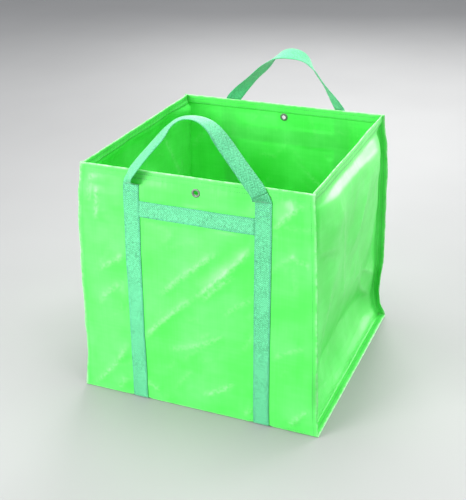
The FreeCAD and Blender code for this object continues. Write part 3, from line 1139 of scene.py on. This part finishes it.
def fin_row(side, face, behind):
    """The seam up one fin, on its outer face or behind it."""
    inset = seam_allowance - fin_row_inset

    def place(out, height):
        x, beyond = side_x(height) + out, np.clip(out / seam_allowance, 0, 1)
        points = on_face(face, SIDES[side] * x, run_at(height), 0.0)
        points[..., 1] -= FACES[face] * behind * (fin_depth(height) + cloth / 2)
        return points

    outward = -FACES[face] * SIDES[side] * (-1.0 if behind else 1.0)
    return stitch_row(place, (inset, 0.004), (inset, rim_height - 0.002), outward)


def seam_stitches(side):
    """The seam of one side: up the front fin, along the base fin and up the back fin."""
    rows = [fin_row(side, face, behind) for face in FACES for behind in (0.0, 1.0)]
    middle = side_x(0) + seam_allowance - fin_row_inset
    reach = face_y(0) - 0.006

    def place(out, along):
        lie = np.full(np.shape(out), floor_of_cloth + 1.5 * cloth)
        return np.stack([SIDES[side] * out, along, lie], -1)

    rows.append(stitch_row(place, (middle, -reach), (middle, reach), SIDES[side]))
    return join_rows(side + "_seam_stitches", rows)


def strap_stitches(face):
    """Rows along both edges of each sewn band and of the cross strap."""
    inset = webbing_width / 2 - band_row_inset
    rows = []
    for side in SIDES:
        for edge in (-inset, inset):
            x = band_middle(side) + edge
            rows.append(face_row(face, (x, 0.006), (x, sewn_top - box_height), webbing))
    reach = band_centre - webbing_width / 2
    for height in (cross_middle - inset, cross_middle + inset):
        start, end = (strap_middle - reach, height), (strap_middle + reach, height)
        rows.append(face_row(face, start, end, cross_thickness))
    return join_rows(face + "_strap_stitches", rows)


def box_stitches(face):
    """The boxed stitch under each handle root: two sides and three bars."""
    inset = webbing_width / 2 - band_row_inset
    top, bottom = sewn_top - band_row_inset, sewn_top - box_height + band_row_inset
    rows = []
    for side in SIDES:
        middle = band_middle(side)
        for z in (bottom, (bottom + top) / 2, top):
            rows.append(face_row(face, (middle - inset, z), (middle + inset, z), webbing))
        for x in (middle - inset, middle + inset):
            rows.append(face_row(face, (x, bottom), (x, top), webbing))
    return join_rows(face + "_box_stitches", rows)


def crease_stitches(face):
    """The row just above the bottom edge, beside and between the bands."""
    ends = [-side_x(0) + 0.003]
    for side in SIDES:
        ends += [band_middle(side) - webbing_width / 2, band_middle(side) + webbing_width / 2]
    ends.append(side_x(0) - 0.003)
    rows = [face_row(face, (low, crease_row_height), (high, crease_row_height), 0.0)
            for low, high in zip(ends[::2], ends[1::2])]
    return join_rows(face + "_crease_stitches", rows)


# Eyelets.

def turned_ring(name, face, outline, count=64):
    """A closed outline of (radius, distance out from the cloth) turned about the eyelet's axis."""
    seat = on_face(face, strap_middle, run_at(eyelet_height))
    normal = unit(np.array([0.0, FACES[face], face_slope]))
    level = np.array([1.0, 0.0, 0.0])
    up = np.cross(normal, level)
    turn = np.arange(count) * 2 * math.pi / count
    radius, out = np.array(outline).T
    spoke = np.cos(turn)[:, None] * level + np.sin(turn)[:, None] * up
    points = seat + spoke[:, None] * radius[None, :, None] + normal * out[None, :, None]
    number = np.arange(count * len(outline)).reshape(count, len(outline))
    number = np.pad(number, ((0, 1), (0, 1)), "wrap")
    quads = np.stack([number[:-1, :-1], number[1:, :-1], number[1:, 1:], number[:-1, 1:]], -1)
    return mend(fill_mesh(name, points, quads.reshape(-1, 4)))


def outer_eyelet(face):
    """Outer half: a domed flange with a turned-down edge, the barrel and its rolled end."""
    flange, bore = eyelet_flange / 2, eyelet_bore / 2
    outline = (
        (flange, 0.0), (flange + 0.0001, 0.0003), (flange - 0.0004, 0.0008),
        (flange - 0.0016, 0.0011), (bore + 0.0014, 0.0011), (bore + 0.0005, 0.0008),
        (bore + 0.0001, 0.0002), (bore, -0.0006), (bore, -0.0017), (bore + 0.0002, -0.0022),
        (bore + 0.0008, -0.0024), (bore + 0.0013, -0.0020), (bore + 0.0010, -0.0016),
        (bore + 0.0004, -0.0014), (bore + 0.0004, -0.0001), (bore + 0.0012, 0.0001),
    )
    return turned_ring(face + "_eyelet_flange", face, outline)


def inner_eyelet(face):
    """Inner half: a washer with a raised middle."""
    flange, bore = eyelet_flange / 2, eyelet_bore / 2
    outline = (
        (flange, -cloth), (flange, -cloth - 0.0004), (flange - 0.0006, -cloth - 0.0006),
        (bore + 0.0018, -cloth - 0.0008), (bore + 0.0006, -cloth - 0.0007), (bore + 0.0005, -cloth - 0.0001),
    )
    return turned_ring(face + "_eyelet_ring", face, outline)


# Build the pieces.

for face in FACES:
    wall = finish_piece(face_wall(face), woven_cloth, "woven_cloth", "bag", face + "_panel")
for side in SIDES:
    wall = finish_piece(side_wall(side), woven_cloth, "woven_cloth", "bag", side + "_side_panel")
base = finish_piece(base_sheet(), woven_cloth, "woven_cloth", "bag", "base_panel")

for side in SIDES:
    finish_piece(base_strap(side), herringbone, "webbing", "bag", side + "_base_band")
for face in FACES:
    for side in SIDES:
        finish_piece(sewn_band(face, side), herringbone, "webbing", "bag", face + "_" + side + "_band")
        foot = finish_piece(
            handle_root(face, side), herringbone, "webbing", None, face + "_" + side + "_handle_root"
        )
        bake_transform(foot)
    finish_piece(cross_piece(face), herringbone, "webbing", "bag", face + "_cross_strap")
    arch = finish_piece(handle_arch(face), herringbone, "webbing", None, face + "_handle_loop")
    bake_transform(arch)

finish_piece(rim_stitches(), cloth_thread, "thread", "bag", "rim_hem_thread")
for side in SIDES:
    finish_piece(seam_stitches(side), cloth_thread, "thread", "bag", side + "_seam_thread")
for face in FACES:
    finish_piece(strap_stitches(face), strap_thread, "thread", "bag", face + "_strap_thread")
    finish_piece(box_stitches(face), strap_thread, "thread", "bag", face + "_box_thread")
    finish_piece(crease_stitches(face), cloth_thread, "thread", "bag", face + "_crease_thread")
    finish_piece(outer_eyelet(face), plated, "eyelet_metal", "bag", face + "_eyelet")
    finish_piece(inner_eyelet(face), plated, "eyelet_metal", "bag", face + "_eyelet_washer")


# Floor, light and camera.

floor_shade = (0.300, 0.300, 0.297)
floor_pale = (0.330, 0.330, 0.327)


def pale_floor():
    """A wide, plain, pale floor."""
    side = 9.0
    corners = np.array([(-side, -side, 0), (side, -side, 0), (side, side, 0), (-side, side, 0)], float)
    floor = fill_mesh("floor", corners, np.array([[0, 1, 2, 3]]))
    material, tree, shader = nodes_of("pale_floor")
    shade = ramp(tree, noise(tree, 1.2), 0.2, 0.8)
    colour = blend_colours(tree, shade, floor_shade, floor_pale)
    tree.links.new(colour, shader.inputs["Base Color"])
    shader.inputs["Roughness"].default_value = 0.6
    floor.data.materials.append(material)


def soft_light(name, place, size, power, aim=(0.0, 0.0, 0.25)):
    """A square softbox at place, turned towards aim."""
    data = bpy.data.lights.new(name, "AREA")
    data.shape = "SQUARE"
    data.size = size
    data.energy = power
    lamp = bpy.data.objects.new(name, data)
    bpy.context.scene.collection.objects.link(lamp)
    lamp.location = place
    lamp.rotation_euler = (Vector(aim) - Vector(place)).to_track_quat("-Z", "Y").to_euler()


def studio():
    """A key from the front left, low enough to catch the creases, a large top light, a fill from
    the right, a low light from the back right and one that shines through the far wall."""
    soft_light("key_light", (-1.25, -2.05, 0.95), 1.2, 78.0)
    soft_light("top_light", (0.1, 0.1, 2.6), 1.6, 70.0)
    soft_light("fill_light", (2.4, -1.3, 1.3), 1.4, 26.0)
    soft_light("low_light", (1.6, 2.1, 0.75), 1.0, 45.0)
    soft_light("back_light", (-0.6, 2.3, 1.5), 1.2, 36.0)
    world = bpy.data.worlds.new("studio")
    world.use_nodes = True
    background = world.node_tree.nodes["Background"]
    background.inputs["Color"].default_value = (0.93, 0.95, 1.0, 1.0)
    background.inputs["Strength"].default_value = 0.6
    bpy.context.scene.world = world


camera_azimuth = 23.22
camera_elevation = 25.93
camera_distance = 1.843
camera_roll = -1.15
camera_lens = 68.9
aim_aside = -0.0189
aim_up = -0.0034


def studio_camera():
    """A camera round the bag's middle: azimuth 0 looks along +Y, and the roll is a slight tilt."""
    turn, rise = math.radians(camera_azimuth), math.radians(camera_elevation)
    back = Vector((math.sin(turn) * math.cos(rise), -math.cos(turn) * math.cos(rise), math.sin(rise)))
    right = Vector((math.cos(turn), math.sin(turn), 0))
    up = back.cross(right)
    tilt = math.radians(camera_roll)
    side = right * math.cos(tilt) + up * math.sin(tilt)
    top = up * math.cos(tilt) - right * math.sin(tilt)
    aim = Vector((0, 0, rim_height / 2)) + right * aim_aside + up * aim_up
    data = bpy.data.cameras.new("studio_camera")
    data.lens = camera_lens
    data.sensor_width = 36.0
    camera = bpy.data.objects.new("studio_camera", data)
    bpy.context.scene.collection.objects.link(camera)
    axes = Matrix((side, top, back)).transposed().to_4x4()
    camera.matrix_world = Matrix.Translation(aim + back * camera_distance) @ axes
    bpy.context.scene.camera = camera


pale_floor()
studio()
studio_camera()
bpy.context.scene.view_settings.view_transform = "Standard"
